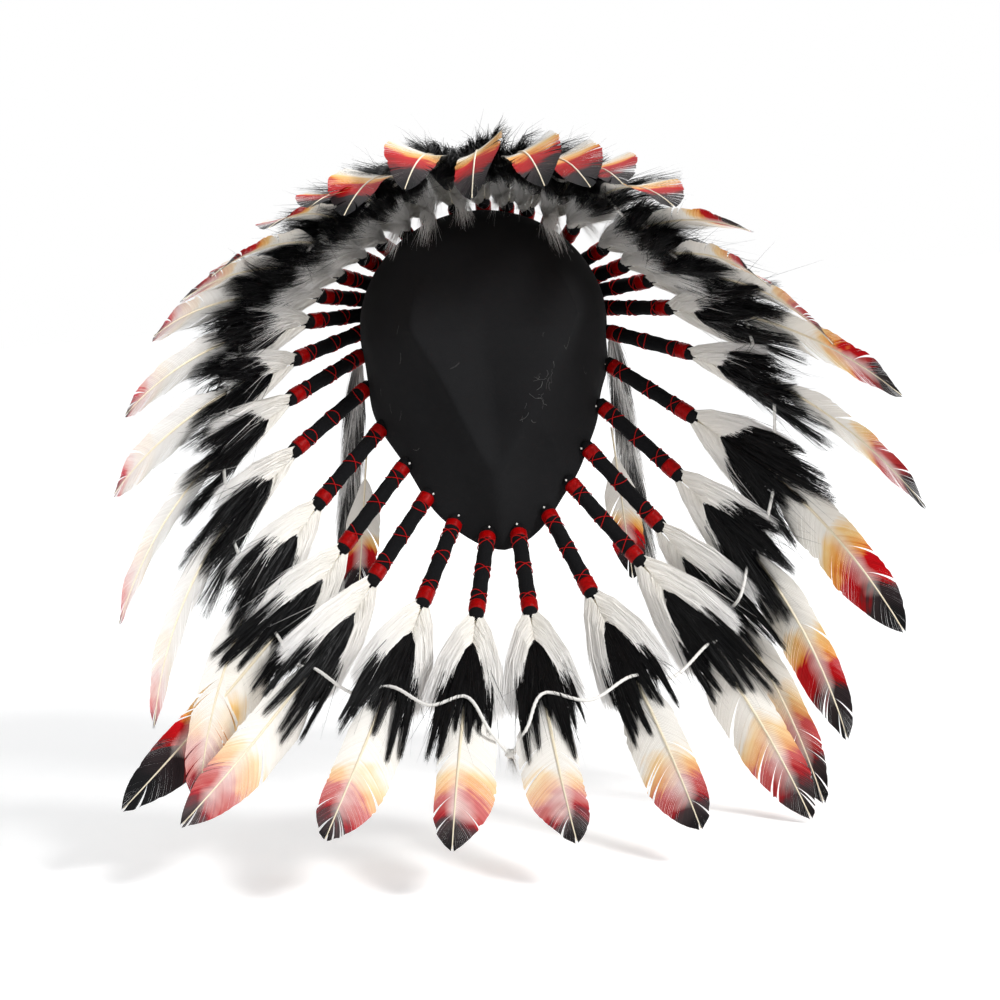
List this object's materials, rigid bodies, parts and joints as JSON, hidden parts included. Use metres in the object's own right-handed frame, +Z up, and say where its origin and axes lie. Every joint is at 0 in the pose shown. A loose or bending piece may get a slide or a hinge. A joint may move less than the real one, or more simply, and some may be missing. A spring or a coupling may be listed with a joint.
{
  "type": "feathered headdress",
  "caption": "Soft black cloth cap ringed by long wrapped feathers with fur tufts, laced together, with a fur and feather drop at each temple.",
  "frame": {"origin": "inside top of the cap's crown, where the wearer's head seats", "axes": "+Z up, wearer looks along +Y, +X to the wearer's right"},
  "size_m": [0.5514, 0.4183, 0.4751],
  "materials": {
    "black_cloth": "matte woven cloth",
    "feather": "soft white, orange, red and black feather with black felt sleeve",
    "white_cord": "twisted cotton cord",
    "red_cord": "red twisted cord",
    "grey_fur": "long white and grey fur with black ends"
  },
  "bodies": {
    "root": {"cap_crown": "black_cloth", "brow_band": "black_cloth", "lacing_cord": "white_cord", "feather_left_01": "feather", "feather_left_02": "feather", "feather_left_03": "feather", "feather_left_04": "feather", "feather_left_05": "feather", "feather_left_06": "feather", "feather_left_07": "feather", "feather_left_08": "feather", "feather_left_09": "feather", "feather_left_10": "feather", "feather_left_11": "feather", "feather_left_12": "feather", "feather_left_13": "feather", "feather_left_14": "feather", "feather_left_15": "feather", "feather_left_16": "feather", "feather_right_01": "feather", "feather_right_02": "feather", "feather_right_03": "feather", "feather_right_04": "feather", "feather_right_05": "feather", "feather_right_06": "feather", "feather_right_07": "feather", "feather_right_08": "feather", "feather_right_09": "feather", "feather_right_10": "feather", "feather_right_11": "feather", "feather_right_12": "feather", "feather_right_13": "feather", "feather_right_14": "feather", "feather_right_15": "feather", "feather_right_16": "feather", "drop_fur_left": "grey_fur", "drop_feather_left": "feather", "drop_cord_left": "red_cord", "drop_fur_right": "grey_fur", "drop_feather_right": "feather", "drop_cord_right": "red_cord"}
  },
  "joints": []
}
